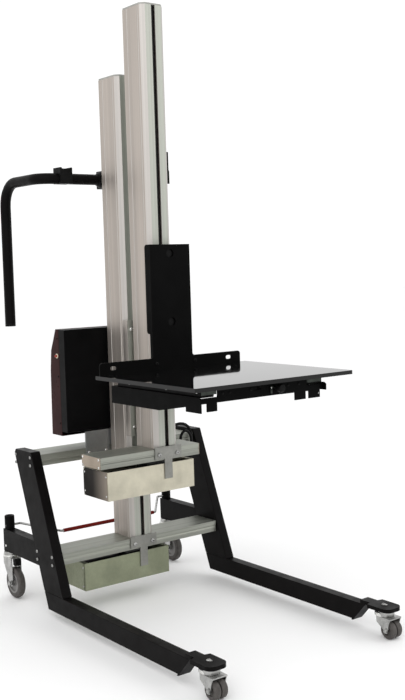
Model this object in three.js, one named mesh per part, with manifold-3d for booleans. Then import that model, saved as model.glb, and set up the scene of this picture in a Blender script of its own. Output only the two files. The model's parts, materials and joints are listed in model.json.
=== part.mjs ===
// Powered two-stage mast lift trolley: a wheeled fork base, a fixed mast, a moving mast in front of it,
// and a carriage with a pull-out shelf. Millimetres, +Z up, the fork legs point to -Y, operator side +Y.
import * as THREE from "three";
import Module from "manifold-3d";
import { mergeVertices } from "three/addons/utils/BufferGeometryUtils.js";

const wasm = await Module();
wasm.setup();

// ---- driving dimensions -----------------------------------------------------------------------------
const GAP = 0.3; // between pieces that touch
const RUN = 0.5; // running clearance of pieces that slide past each other
const SHAFT_PLAY = 0.1; // a shaft's radius below its bore's

// wheeled base
const TRACK = 620; // between the two leg centre lines
const LEG_W = 32; // leg, post and arm width across the trolley
const LEG_BOTTOM = 24;
const LEG_TOP = 77;
const LEG_TIP_Y = -440; // front end of the leg's top edge
const LEG_WALL = 3;
const POST_FRONT_Y = 190; // front of the post where it meets the leg's top
const POST_DEPTH = 113; // post size along Y
const POST_LEAN = 0.396; // Y run for each unit of height
const POST_TOP = 496;
const POST_CLIP = 11; // cut off the post's rear top corner
const ARM_BOTTOM = 149;
const ARM_TOP = 221;
const STEM_Y = 553; // swivel axis of the rear casters
const STEM_R = 16;
const STEM_TOP = 265;
const STEM_BORE = 9;
const FRONT_CASTER_Y = -510;
const PAD_BOTTOM = LEG_TOP + GAP;
const PAD_TOP = 88;
const PAD_W = 63;

// cross beams, all cut from one extrusion
const BEAM_D = 104;
const BEAM_H = 35;
const BEAM_WALL = 3;
const UPPER_BEAM_Z = 449.5;
const LOWER_BEAM_Z = 162;

// masts: one chamfered, slotted extrusion used twice
const MAST_W = 84;
const MAST_D = 116;
const MAST_CHAMFER = 13;
const MAST_WALL = 5;
const MAST_SLOT = 13;
const GROOVE_W = 4;
const GROOVE_DEPTH = 1.5;
const FIXED_FRONT_Y = 241;
const FIXED_TOP = 1645;
const MOVING_FRONT_Y = 90;
const MOVING_TOP = 1832;
const CAP_T = 5;
const BELT_W = 10;
const BELT_T = 2;
const BELT_INSET = 7.5;

// stage: short beam, drive and slider that carry the moving mast
const STAGE_BEAM_Z = 466;
const STAGE_LEFT = -240;
const STAGE_RIGHT = 118;
const DRIVE_LEFT = -217;
const DRIVE_RIGHT = 97;
const DRIVE_DEPTH = 140;
const DRIVE_H = 86;
const DRIVE_DROP = 11; // drive cover top below the beam that carries it
const SHEET = 2;
const TEE_W = 98;
const TEE_T = 3;
const TONGUE_W = 28;
const SLIDER_W = 100;
const SLIDER_BOTTOM = 528;
const SLIDER_TOP = 891;

// carriage and shelf
const SHELF_W = 550;
const SHELF_FRONT_Y = -435;
const SHELF_REAR_Y = 41.5;
const SHELF_TOP = 749;
const SHELF_LIP = 11;
const SHELF_T = 3;
const BACK_Y = 43; // front face of the carriage back plate
const BACK_T = 5;
const BACK_W = 145;
const BACK_TOP = 1120;
const BACK_BOTTOM = 667;
const FLANGE_D = 28; // back plate's side flanges, from their lower end up
const FLANGE_BOTTOM = 855;
const PLATE_HOLE_R = 13;
const PLATE_FILLET = 8;
const STRIP_W = 516;
const STRIP_BOTTOM = 745;
const STRIP_TOP = 783;
const ARM_X = 218; // inner face of the carriage side arms
const ARM_T = 4;
const ARM_END_Y = -372;
const ARM_HIGH = 716.5;
const RAIL_BOTTOM = 697;
const RAIL_TOP = 737;
const TAB_BOTTOM = 675;
const SLIDE_W = 46;
const SLIDE_H = 20;
const SLIDE_T = 2.3;
const KNOB_X = 47;
const KNOB_R_HOLE = 6;
const KNOB_Z = 717;

// control box, handle and brake
const BOX_W = 384;
const BOX_FRONT_Y = 360;
const BOX_SPLIT_Y = 395;
const BOX_REAR_Y = 459;
const BOX_BOTTOM = 540;
const BOX_TOP = 866;
const BUTTON_R = 4;
const BUTTON_Y = 408;
const BUTTON_Z = 781;
const BRACKET_W = 260;
const BRACKET_TOP = 537;
const HANDLE_R = 17;
const HANDLE_Z = 1337;
const HANDLE_Y = 375;
const HANDLE_LEFT = -245;
const HANDLE_RIGHT = 218;
const GRIP_Y = 617;
const GRIP_END = 873;
const HANDLE_BEND = 49;
const GRIP_BEND = 73; // where the bar turns down into the grip
const CRADLE_LEFT = -186;
const CRADLE_RIGHT = -143;
const CONTROL_X = 201; // hand control, hung at the handle's plain end
const CONTROL_W = 50;
const PLUG_R = 9; // its push buttons
const BRAKE_Z = 232;
const BRAKE_ROD_R = 4;
const BAR_Y = 440;
const BAR_Z = 211;
const BAR_HALF = 176;
const BAR_R = 6;

// casters
const REAR_R = 50;
const REAR_W = 24;
const REAR_TRAIL = 28;
const REAR_HUB_R = 34;
const AXLE_R = 5;
const FRONT_R = 25;
const FRONT_W = 17;
const FRONT_TRAIL = 20;
const FRONT_AXLE_R = 4;
const FRONT_STEM_R = 5;

const COLOURS = {
  black: { color: 0x1d1c1b, roughness: 0.5, metalness: 0.3 },
  aluminium: { color: 0xb7b2aa, roughness: 0.45, metalness: 0.9 },
  zinc: { color: 0xb9bab6, roughness: 0.35, metalness: 0.9 },
  galvanised: { color: 0x9f998a, roughness: 0.45, metalness: 0.8 },
  plastic: { color: 0x171717, roughness: 0.5, metalness: 0 },
  maroon: { color: 0x6b1713, roughness: 0.4, metalness: 0.2 },
  tyre: { color: 0x45413d, roughness: 0.8, metalness: 0 },
  hub: { color: 0x8e8d8a, roughness: 0.5, metalness: 0.2 },
  red: { color: 0xb02820, roughness: 0.4, metalness: 0 },
};

const model = new THREE.Group();

// ---- shape helpers ----------------------------------------------------------------------------------

// One closed surface with shared vertices and its faces turned outwards.
function closed(geometry) {
  const bare = new THREE.BufferGeometry();
  bare.setAttribute("position", geometry.getAttribute("position").clone());
  if (geometry.index) bare.setIndex(geometry.index.clone());
  const merged = mergeVertices(bare, 1e-3);
  const p = merged.getAttribute("position");
  const index = merged.index.array;
  const corner = [new THREE.Vector3(), new THREE.Vector3(), new THREE.Vector3()];
  let volume = 0;
  for (let i = 0; i < index.length; i += 3) {
    corner.forEach((v, k) => v.fromBufferAttribute(p, index[i + k]));
    volume += corner[0].dot(corner[1].clone().cross(corner[2]));
  }
  if (volume < 0) {
    for (let i = 0; i < index.length; i += 3) [index[i], index[i + 1]] = [index[i + 1], index[i]];
  }
  return merged;
}

function toSolid(geometry) {
  const g = closed(geometry);
  const mesh = new wasm.Mesh({
    numProp: 3,
    vertProperties: new Float32Array(g.getAttribute("position").array),
    triVerts: new Uint32Array(g.index.array),
  });
  return new wasm.Manifold(mesh);
}

function toGeometry(solid) {
  const mesh = solid.getMesh();
  const g = new THREE.BufferGeometry();
  const positions = new Float32Array(mesh.numVert * 3);
  for (let i = 0; i < mesh.numVert; i++) {
    positions.set(mesh.vertProperties.subarray(i * mesh.numProp, i * mesh.numProp + 3), i * 3);
  }
  g.setAttribute("position", new THREE.BufferAttribute(positions, 3));
  g.setIndex(new THREE.BufferAttribute(new Uint32Array(mesh.triVerts), 1));
  return g;
}

function join(...pieces) {
  return toGeometry(pieces.map(toSolid).reduce((a, b) => a.add(b)));
}

function cut(piece, ...tools) {
  return toGeometry(tools.map(toSolid).reduce((a, b) => a.subtract(b), toSolid(piece)));
}

function outline(points) {
  return new THREE.Shape(points.map(([x, y]) => new THREE.Vector2(x, y)));
}

// Prism whose section lies in the plane across the named axis, from one end to the other along it.
// Sections are [x, y] across Z, [y, z] across X and [x, z] across Y.
function prism(axis, section, from, to) {
  const shape = section instanceof THREE.Shape ? section : outline(section);
  const g = new THREE.ExtrudeGeometry(shape, { depth: to - from, bevelEnabled: false, curveSegments: 8 });
  const turn = {
    Z: new THREE.Matrix4().makeTranslation(0, 0, from),
    X: new THREE.Matrix4().set(0, 0, 1, from, 1, 0, 0, 0, 0, 1, 0, 0, 0, 0, 0, 1),
    Y: new THREE.Matrix4().set(1, 0, 0, 0, 0, 0, 1, from, 0, 1, 0, 0, 0, 0, 0, 1),
  };
  return closed(g.applyMatrix4(turn[axis]));
}

function block(x0, x1, y0, y1, z0, z1) {
  return closed(new THREE.BoxGeometry(x1 - x0, y1 - y0, z1 - z0)
    .translate((x0 + x1) / 2, (y0 + y1) / 2, (z0 + z1) / 2));
}

// Round bar along X, Y or Z.
function rod(axis, radius, from, to, a, b, sides = 24) {
  const g = new THREE.CylinderGeometry(radius, radius, to - from, sides);
  const mid = (from + to) / 2;
  if (axis === "X") return closed(g.rotateZ(Math.PI / 2).translate(mid, a, b));
  if (axis === "Y") return closed(g.translate(a, mid, b));
  return closed(g.rotateX(Math.PI / 2).translate(a, b, mid));
}

// Solid of revolution about X or Z; the profile is a closed list of [radius, distance along the axis].
function turned(axis, profile, at, sides = 32) {
  const points = [...profile, profile[0]].map(([r, d]) => new THREE.Vector2(r, d));
  const g = new THREE.LatheGeometry(points, sides);
  if (axis === "X") g.rotateZ(-Math.PI / 2);
  else g.rotateX(Math.PI / 2);
  return closed(g.translate(...at));
}

// Rectangle with rounded corners as a shape; radii run from the low-low corner anticlockwise.
function roundedRect(x0, x1, y0, y1, radii) {
  const [a, b, c, d] = Array.isArray(radii) ? radii : [radii, radii, radii, radii];
  const s = new THREE.Shape();
  s.moveTo(x0 + a, y0);
  s.lineTo(x1 - b, y0);
  if (b) s.absarc(x1 - b, y0 + b, b, -Math.PI / 2, 0);
  s.lineTo(x1, y1 - c);
  if (c) s.absarc(x1 - c, y1 - c, c, 0, Math.PI / 2);
  s.lineTo(x0 + d, y1);
  if (d) s.absarc(x0 + d, y1 - d, d, Math.PI / 2, Math.PI);
  s.lineTo(x0, y0 + a);
  if (a) s.absarc(x0 + a, y0 + a, a, Math.PI, 1.5 * Math.PI);
  return s;
}

// A path of straight stretches through its points, with one extrusion step for each stretch.
class Route extends THREE.Curve {
  constructor(points) {
    super();
    this.points = points;
  }
  getPoint(t, target = new THREE.Vector3()) {
    return target.copy(this.points[Math.round(t * (this.points.length - 1))]);
  }
  getPointAt(u, target) {
    return this.getPoint(u, target);
  }
  getTangentAt(u, target = new THREE.Vector3()) {
    const i = Math.round(u * (this.points.length - 1));
    const before = this.points[Math.max(i - 1, 0)];
    const after = this.points[Math.min(i + 1, this.points.length - 1)];
    return target.copy(after).sub(before).normalize();
  }
}

// Corner points turned into a route with round bends, one radius for each bend or one for all.
function bent(corners, radii, steps = 7) {
  const at = corners.map((c) => new THREE.Vector3(...c));
  const points = [at[0]];
  for (let i = 1; i < at.length - 1; i++) {
    const back = at[i - 1].clone().sub(at[i]).normalize();
    const ahead = at[i + 1].clone().sub(at[i]).normalize();
    const radius = Array.isArray(radii) ? radii[i - 1] : radii;
    const half = back.angleTo(ahead) / 2;
    const reach = radius / Math.tan(half);
    const middle = back.clone().add(ahead).normalize();
    const centre = at[i].clone().addScaledVector(middle, radius / Math.sin(half));
    const start = at[i].clone().addScaledVector(back, reach).sub(centre);
    const end = at[i].clone().addScaledVector(ahead, reach).sub(centre);
    const sweep = start.angleTo(end);
    for (let k = 0; k <= steps; k++) {
      const t = k / steps;
      const p = start.clone().multiplyScalar(Math.sin((1 - t) * sweep))
        .addScaledVector(end, Math.sin(t * sweep)).divideScalar(Math.sin(sweep));
      points.push(p.add(centre));
    }
  }
  return [...points, at[at.length - 1]];
}

// Round bar or tube along a list of points.
function along(points, radius, sides, bore = 0) {
  const ring = (r) => Array.from({ length: sides }, (_, k) => {
    const a = (2 * Math.PI * k) / sides;
    return [r * Math.cos(a), r * Math.sin(a)];
  });
  const section = outline(ring(radius));
  if (bore) section.holes.push(outline(ring(bore)));
  const path = new Route(points);
  return closed(new THREE.ExtrudeGeometry(section, { extrudePath: path, steps: points.length - 1 }));
}

function add(name, geometry, look) {
  const flat = geometry.toNonIndexed();
  flat.computeVertexNormals();
  const mesh = new THREE.Mesh(flat, new THREE.MeshStandardMaterial(COLOURS[look]));
  mesh.name = name;
  model.add(mesh);
}

const SIDES = [["left", -1], ["right", 1]];
const AXIS_X = TRACK / 2;

// ---- base frame -------------------------------------------------------------------------------------

function postRearY(z) {
  return POST_FRONT_Y + POST_DEPTH + POST_LEAN * (z - LEG_TOP);
}

function postFrontY(z) {
  return POST_FRONT_Y + POST_LEAN * (z - LEG_TOP);
}

const LEG_UNDERCUT = 48; // the tip's lower edge lies this far behind its upper edge

// A hollow section standing across X: the outer side view, less an inner one that runs out of one end.
function hollow(x, outer, inner) {
  const half = LEG_W / 2;
  return cut(
    prism("X", outer, x - half, x + half),
    prism("X", inner, x - half + LEG_WALL, x + half - LEG_WALL),
  );
}

function leg(x) {
  const low = LEG_BOTTOM + LEG_WALL;
  const high = LEG_TOP - LEG_WALL;
  const rear = postRearY(LEG_BOTTOM);
  const outer = [
    [LEG_TIP_Y + LEG_UNDERCUT, LEG_BOTTOM],
    [rear, LEG_BOTTOM],
    [postRearY(LEG_TOP), LEG_TOP],
    [LEG_TIP_Y, LEG_TOP],
  ];
  const inner = [[LEG_TIP_Y - 50, low], [rear - 8, low], [rear - 8, high], [LEG_TIP_Y - 50, high]];
  return hollow(x, outer, inner);
}

function post(x) {
  const low = LEG_TOP + GAP;
  const side = LEG_WALL * Math.hypot(1, POST_LEAN);
  const outer = [
    [postFrontY(low), low],
    [postRearY(low), low],
    [postRearY(POST_TOP - POST_CLIP), POST_TOP - POST_CLIP],
    [postRearY(POST_TOP) - POST_CLIP, POST_TOP],
    [postFrontY(POST_TOP), POST_TOP],
  ];
  const roof = POST_TOP - LEG_WALL;
  const inner = [
    [postFrontY(low - 9) + side, low - 9],
    [postRearY(low - 9) - side, low - 9],
    [postRearY(roof - POST_CLIP) - side, roof - POST_CLIP],
    [postRearY(roof) - side - POST_CLIP, roof],
    [postFrontY(roof) + side, roof],
  ];
  return hollow(x, outer, inner);
}

function rearArm(x) {
  const front = (z) => postRearY(z) + GAP;
  const end = STEM_Y + STEM_R;
  const outer = [
    [front(ARM_BOTTOM), ARM_BOTTOM],
    [end, ARM_BOTTOM],
    [end, ARM_TOP],
    [front(ARM_TOP), ARM_TOP],
  ];
  const stop = STEM_Y - STEM_R - LEG_WALL;
  const low = ARM_BOTTOM + LEG_WALL;
  const high = ARM_TOP - LEG_WALL;
  const inner = [[front(low) - 30, low], [stop, low], [stop, high], [front(low) - 30, high]];
  return cut(hollow(x, outer, inner), rod("Z", STEM_R - 3 + GAP, ARM_BOTTOM - 5, ARM_TOP + 5, x, STEM_Y));
}

// Upright tube through the arm's end; the brake shaft crosses it and the caster's stem turns in its bore.
function stemTube(x) {
  const profile = [
    [STEM_BORE, ARM_BOTTOM],
    [STEM_R - 3, ARM_BOTTOM],
    [STEM_R - 3, ARM_TOP + GAP],
    [STEM_R, ARM_TOP + GAP],
    [STEM_R, STEM_TOP - 2],
    [STEM_R - 2, STEM_TOP],
    [STEM_BORE, STEM_TOP],
  ];
  const tube = turned("Z", profile, [x, STEM_Y, 0], 24);
  return cut(tube, rod("X", BRAKE_ROD_R + SHAFT_PLAY, x - 30, x + 30, STEM_Y, BRAKE_Z, 24));
}

// Bent plate on the leg's tip: a slanting end plate, and a pad with a round nose over the caster.
function tipPlate(x) {
  const nose = PAD_W / 2;
  const pad = new THREE.Shape();
  const neck = LEG_TIP_Y - 24;
  pad.moveTo(x + LEG_W / 2, LEG_TIP_Y + 14);
  pad.lineTo(x + LEG_W / 2, neck);
  pad.lineTo(x + nose, neck - 4);
  pad.lineTo(x + nose, FRONT_CASTER_Y - 14);
  pad.absarc(x + nose - 22, FRONT_CASTER_Y - 14, 22, 0, -Math.PI / 2, true);
  pad.lineTo(x - nose + 22, FRONT_CASTER_Y - 36);
  pad.absarc(x - nose + 22, FRONT_CASTER_Y - 14, 22, -Math.PI / 2, -Math.PI, true);
  pad.lineTo(x - nose, neck - 4);
  pad.lineTo(x - LEG_W / 2, neck);
  pad.lineTo(x - LEG_W / 2, LEG_TIP_Y + 14);
  const slope = LEG_UNDERCUT / (LEG_TOP - LEG_BOTTOM);
  const low = LEG_BOTTOM - 2;
  const face = (z) => LEG_TIP_Y + (LEG_TOP - z) * slope - 0.5;
  const end = [[face(low) - 7, low], [face(low), low], [face(PAD_TOP - 2), PAD_TOP - 2],
    [face(PAD_TOP - 2) - 7, PAD_TOP - 2]];
  const plate = join(prism("Z", pad, PAD_BOTTOM, PAD_TOP), prism("X", end, x - 19, x + 19));
  return cut(plate, rod("Z", FRONT_STEM_R + SHAFT_PLAY, PAD_BOTTOM - 5, PAD_TOP + 5, x, FRONT_CASTER_Y));
}

for (const [side, sign] of SIDES) {
  const x = sign * AXIS_X;
  add(side + "_leg", leg(x), "black");
  add(side + "_post", post(x), "black");
  add(side + "_rear_arm", rearArm(x), "black");
  add(side + "_stem_tube", stemTube(x), "black");
  add(side + "_tip_plate", tipPlate(x), "black");
}

// ---- cross beams ------------------------------------------------------------------------------------

// Hollow extrusion with a shallow groove along the front and back and a middle web.
function beam(x0, x1, y0, z0) {
  const y1 = y0 + BEAM_D;
  const z1 = z0 + BEAM_H;
  const mid = (z0 + z1) / 2;
  const middleY = (y0 + y1) / 2;
  const outer = [
    [y0, z0], [y1, z0], [y1, mid - 3], [y1 - 1.5, mid - 2], [y1 - 1.5, mid + 2], [y1, mid + 3],
    [y1, z1], [y0, z1], [y0, mid + 3], [y0 + 1.5, mid + 2], [y0 + 1.5, mid - 2], [y0, mid - 3],
  ];
  const cell = (a, b) => [
    [a, z0 + BEAM_WALL], [b, z0 + BEAM_WALL], [b, z1 - BEAM_WALL], [a, z1 - BEAM_WALL],
  ];
  const wall = BEAM_WALL + 1.5;
  const web = BEAM_WALL / 2;
  const run = (a, b) => prism("X", cell(a, b), x0 - 5, x1 + 5);
  return cut(prism("X", outer, x0, x1), run(y0 + wall, middleY - web), run(middleY + web, y1 - wall));
}

const BEAM_END = AXIS_X - LEG_W / 2 - GAP;
const UPPER_BEAM_Y = FIXED_FRONT_Y + MAST_D + GAP;
const LOWER_BEAM_Y = FIXED_FRONT_Y + GAP;
const LOWER_BEAM_TOP = LOWER_BEAM_Z + BEAM_H;
const STAGE_BEAM_Y = MOVING_FRONT_Y - 2;
const STAGE_BEAM_TOP = STAGE_BEAM_Z + BEAM_H;
add("upper_beam", beam(-BEAM_END, BEAM_END, UPPER_BEAM_Y, UPPER_BEAM_Z), "aluminium");
add("lower_beam", beam(-BEAM_END, BEAM_END, LOWER_BEAM_Y, LOWER_BEAM_Z), "aluminium");
add("stage_beam", beam(STAGE_LEFT, STAGE_RIGHT, STAGE_BEAM_Y, STAGE_BEAM_Z), "aluminium");

// ---- masts ------------------------------------------------------------------------------------------

// Half of a chamfered outline, from the slot round the +X side to the middle of the back.
function halfOutline(front, inset, groove) {
  const w = MAST_W / 2 - inset;
  const y0 = front + inset;
  const y1 = front + MAST_D - inset;
  const c = MAST_CHAMFER - inset * 0.4;
  const points = [[MAST_SLOT / 2, y0], [w - c, y0], [w, y0 + c]];
  if (groove) {
    for (const y of [y0 + c + 6, y1 - c - 26]) {
      points.push([w, y], [w - GROOVE_DEPTH, y + 1], [w - GROOVE_DEPTH, y + GROOVE_W - 1], [w, y + GROOVE_W]);
    }
  }
  points.push([w, y1 - c], [w - c, y1]);
  return points;
}

function mastSection(front) {
  const mirrored = (points) => points.map(([x, y]) => [-x, y]).reverse();
  const outer = halfOutline(front, 0, true);
  const inner = halfOutline(front, MAST_WALL, false);
  return [...outer, ...mirrored(outer), ...mirrored(inner).reverse(), ...inner.reverse()];
}

function mastCap(front, z) {
  const section = halfOutline(front, 1, false).slice(1);
  const mirrored = section.map(([x, y]) => [-x, y]).reverse();
  return prism("Z", [...section, ...mirrored], z + GAP, z + CAP_T);
}

function belt(front, z0, z1) {
  const y = front + BELT_INSET;
  return block(-BELT_W / 2, BELT_W / 2, y, y + BELT_T, z0, z1);
}

const FIXED_BOTTOM = LOWER_BEAM_TOP + GAP;
const MOVING_BOTTOM = STAGE_BEAM_TOP + GAP;
add("fixed_mast", prism("Z", mastSection(FIXED_FRONT_Y), FIXED_BOTTOM, FIXED_TOP), "aluminium");
add("fixed_mast_cap", mastCap(FIXED_FRONT_Y, FIXED_TOP), "plastic");
add("fixed_belt", belt(FIXED_FRONT_Y, FIXED_BOTTOM + 4, FIXED_TOP - 4), "plastic");
add("moving_mast", prism("Z", mastSection(MOVING_FRONT_Y), MOVING_BOTTOM, MOVING_TOP), "aluminium");
add("moving_mast_cap", mastCap(MOVING_FRONT_Y, MOVING_TOP), "plastic");
add("moving_belt", belt(MOVING_FRONT_Y, MOVING_BOTTOM + 4, MOVING_TOP - 4), "plastic");

// Tee-shaped plate that ties a mast's foot to its beam and holds the drive cover with its tongue.
function teeBracket(front, beamZ) {
  const y1 = front - GAP;
  const top = beamZ + BEAM_H + 6;
  const low = beamZ + 4;
  const tip = beamZ - 58;
  const w = TEE_W / 2;
  const t = TONGUE_W / 2;
  const section = [
    [-w, low], [-t, low], [-t, tip], [t, tip], [t, low], [w, low], [w, top], [-w, top],
  ];
  return prism("Y", section, y1 - TEE_T, y1);
}

// Sheet box, open at the top, with a folded rim round the opening.
function driveCover(front, beamZ) {
  const top = beamZ - DRIVE_DROP;
  const y1 = front + DRIVE_DEPTH;
  const z0 = top - DRIVE_H;
  const outer = block(DRIVE_LEFT, DRIVE_RIGHT, front, y1, z0, top);
  const inner = block(DRIVE_LEFT + SHEET, DRIVE_RIGHT - SHEET, front + SHEET, y1 - SHEET, z0 + SHEET, top + 5);
  return cut(outer, inner);
}

// Geared motor lying along the beam inside its cover.
function driveMotor(front, beamZ) {
  const y = front + DRIVE_DEPTH / 2;
  const z = beamZ - DRIVE_DROP - DRIVE_H / 2;
  return join(
    rod("X", 30, DRIVE_LEFT + 25, -40, y, z),
    block(-45, 35, y - 38, y + 38, z - 38, z + 38),
  );
}

add("lower_tee_bracket", teeBracket(FIXED_FRONT_Y, LOWER_BEAM_Z), "galvanised");
add("lower_drive_cover", driveCover(FIXED_FRONT_Y, LOWER_BEAM_Z), "galvanised");
add("lower_motor", driveMotor(FIXED_FRONT_Y, LOWER_BEAM_Z), "plastic");
add("stage_tee_bracket", teeBracket(STAGE_BEAM_Y, STAGE_BEAM_Z), "galvanised");
add("stage_drive_cover", driveCover(STAGE_BEAM_Y, STAGE_BEAM_Z), "galvanised");
add("stage_motor", driveMotor(STAGE_BEAM_Y, STAGE_BEAM_Z), "plastic");

// Slider that joins the moving mast's back to the fixed mast's front and runs in its slot.
function mastSlider() {
  const back = FIXED_FRONT_Y - RUN;
  const pad = MOVING_FRONT_Y + MAST_D + GAP;
  const body = block(-SLIDER_W / 2, SLIDER_W / 2, pad + 7, back, SLIDER_BOTTOM, SLIDER_TOP);
  const spacer = block(-25, 25, pad, pad + 8, SLIDER_BOTTOM + 10, SLIDER_TOP - 10);
  const key = block(-5.5, 5.5, back - 1, FIXED_FRONT_Y + BELT_INSET - 1, SLIDER_BOTTOM + 10, SLIDER_TOP - 10);
  return join(body, spacer, key);
}
add("mast_slider", mastSlider(), "aluminium");

// ---- carriage ---------------------------------------------------------------------------------------

function slot(x0, x1, z0, z1) {
  return roundedRect(x0, x1, z0, z1, (z1 - z0) / 2 - 0.1);
}

// Piece that rounds the inner corner at x, z; the signs say which way it opens.
function fillet(x, z, signX, signZ) {
  const steps = 6;
  const curve = Array.from({ length: steps + 1 }, (_, k) => {
    const a = (Math.PI / 2) * (k / steps);
    return [x + signX * PLATE_FILLET * (1 - Math.sin(a)), z + signZ * PLATE_FILLET * (1 - Math.cos(a))];
  });
  const section = [[x - signX, z - signZ], [x + signX * PLATE_FILLET, z - signZ], ...curve,
    [x - signX, z + signZ * PLATE_FILLET]];
  return prism("Y", section, BACK_Y, BACK_Y + BACK_T);
}

function backPlate() {
  const w = BACK_W / 2;
  const s = STRIP_W / 2;
  const y1 = BACK_Y + BACK_T;
  const upright = [[-w, BACK_BOTTOM], [w, BACK_BOTTOM], [w, BACK_TOP], [-w, BACK_TOP]];
  const strip = roundedRect(-s, s, STRIP_BOTTOM, STRIP_TOP, [6, 6, 9, 9]);
  const wide = roundedRect(BACK_Y, BACK_Y + FLANGE_D, FLANGE_BOTTOM, BACK_TOP, [0, 10, 10, 0]);
  const narrow = roundedRect(BACK_Y, BACK_Y + 13, BACK_BOTTOM, FLANGE_BOTTOM + 1, 0);
  const flanges = [-w, w - BACK_T].flatMap((x0) => [wide, narrow].map((f) => prism("X", f, x0, x0 + BACK_T)));
  const fillets = [-1, 1].flatMap((k) => [fillet(k * w, STRIP_TOP, k, 1), fillet(k * w, STRIP_BOTTOM, k, -1)]);
  const plate = join(prism("Y", upright, BACK_Y, y1), prism("Y", strip, BACK_Y, y1), ...flanges, ...fillets);
  const drill = [1093, 889].map((z) => rod("Y", PLATE_HOLE_R, BACK_Y - 5, y1 + 5, 0, z, 28));
  const keyholes = [-1, 1].map((k) => k * (s - 46))
    .map((x) => prism("Y", slot(x - 11, x + 11, 760, 772), BACK_Y - 5, y1 + 5));
  return cut(plate, ...drill, ...keyholes);
}

// Slider behind the back plate that runs in the moving mast's slot.
function carriageSlider() {
  const y0 = BACK_Y + BACK_T + GAP;
  const y1 = MOVING_FRONT_Y - RUN;
  const body = block(-36, 36, y0, y1, 700, BACK_TOP - 8);
  const key = block(-5.5, 5.5, y1 - 1, MOVING_FRONT_Y + BELT_INSET - 1, 710, BACK_TOP - 18);
  return join(body, key);
}

// Side arm under the shelf: a web with a tapered front and a hook, and a flange that carries the slide.
function carriageArm(sign) {
  const rear = BACK_Y - GAP;
  const end = ARM_END_Y - 11;
  const hook = sign < 0 ? TAB_BOTTOM : 695;
  const web = [
    [rear, BACK_BOTTOM], [-195, BACK_BOTTOM], [-318, 687], [-318, hook], [end, hook],
    [end, 712], [ARM_END_Y - 4, ARM_HIGH], [rear, ARM_HIGH],
  ];
  const x0 = sign < 0 ? -ARM_X - ARM_T : ARM_X;
  const flangeX0 = sign < 0 ? -ARM_X - 1 : ARM_X - 52;
  return join(
    prism("X", web, x0, x0 + ARM_T),
    block(flangeX0, flangeX0 + 53, ARM_END_Y + 5, rear, ARM_HIGH - 4, ARM_HIGH),
  );
}

function frontRail() {
  const end = ARM_X - GAP;
  const notch = ARM_HIGH - 4.5;
  const slideX = ARM_X - SLIDE_W - 15;
  const tabs = [[26 - ARM_X, 59 - ARM_X], [ARM_X - 105, ARM_X - 65], [ARM_X - 53, ARM_X - 11]];
  const tab = ([x0, x1]) => [[x0, RAIL_BOTTOM], [x0, TAB_BOTTOM], [x1, TAB_BOTTOM], [x1, RAIL_BOTTOM]];
  const outer = [
    [-end, RAIL_BOTTOM], ...tabs.flatMap(tab), [end, RAIL_BOTTOM],
    [end, notch], [slideX, notch], [slideX, RAIL_TOP],
    [-slideX, RAIL_TOP], [-slideX, notch], [-end, notch],
  ];
  const y0 = ARM_END_Y - 5;
  const y1 = ARM_END_Y + ARM_T + 5;
  return cut(
    prism("Y", outer, ARM_END_Y, ARM_END_Y + ARM_T),
    rod("Y", KNOB_R_HOLE, y0, y1, KNOB_X, KNOB_Z, 16),
    ...[-116, -44, 88].map((x) => rod("Y", 3, y0, y1, x, 720, 12)),
    prism("Y", slot(-24, -8, 717, 727), y0, y1),
  );
}

function slideOuter(sign) {
  const z0 = ARM_HIGH + GAP;
  const z1 = z0 + SLIDE_H;
  const a = sign * (ARM_X - 4);
  const b = a - sign * SLIDE_W;
  const t = SLIDE_T;
  const section = [
    [a, z0], [a, z1], [b, z1], [b, z1 - t], [a - sign * t, z1 - t], [a - sign * t, z0 + t], [b, z0 + t], [b, z0],
  ];
  return prism("Y", section, ARM_END_Y, 20);
}

// Inner rail that carries the shelf: a bar inside the outer slide and a web up to the shelf's underside.
function slideInner(sign) {
  const z0 = ARM_HIGH + GAP + SLIDE_T + RUN;
  const z1 = ARM_HIGH + GAP + SLIDE_H - SLIDE_T - RUN;
  const a = sign * (ARM_X - 4 - SLIDE_T - 1);
  const b = a - sign * (SLIDE_W + 4);
  const c = b + sign * 4;
  const top = SHELF_TOP - SHELF_T - GAP;
  const section = [[a, z0], [a, z1], [c, z1], [c, top], [b, top], [b, z0]];
  return prism("Y", section, ARM_END_Y, 20);
}

// Folded tray, open underneath.
function shelf() {
  const w = SHELF_W / 2;
  const tray = prism("Z", roundedRect(-w, w, SHELF_FRONT_Y, SHELF_REAR_Y, 3), SHELF_TOP - SHELF_LIP, SHELF_TOP);
  const inside = block(-w + SHELF_T, w - SHELF_T, SHELF_FRONT_Y + SHELF_T, SHELF_REAR_Y - SHELF_T,
    SHELF_TOP - SHELF_LIP - 5, SHELF_TOP - SHELF_T);
  return cut(tray, inside);
}

// Spring plunger that locks the shelf: a knob in front of the rail and a pin through it.
function lockPlunger() {
  const knob = turned("Z", [[0, 0], [11, 0], [12, 2], [12, 12], [10, 15], [0, 15]], [0, 0, 0], 24)
    .rotateX(Math.PI / 2).translate(KNOB_X, ARM_END_Y - 9, KNOB_Z);
  return join(knob, rod("Y", KNOB_R_HOLE - RUN, ARM_END_Y - 10, ARM_END_Y + 24, KNOB_X, KNOB_Z, 16));
}

add("carriage_back_plate", backPlate(), "black");
add("carriage_slider", carriageSlider(), "plastic");
for (const [side, sign] of SIDES) {
  add("carriage_arm_" + side, carriageArm(sign), "black");
  add("slide_outer_" + side, slideOuter(sign), "black");
  add("slide_inner_" + side, slideInner(sign), "zinc");
}
add("carriage_front_rail", frontRail(), "black");
add("shelf_plate", shelf(), "black");
add("lock_plunger", lockPlunger(), "plastic");

// ---- control box ------------------------------------------------------------------------------------

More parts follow.
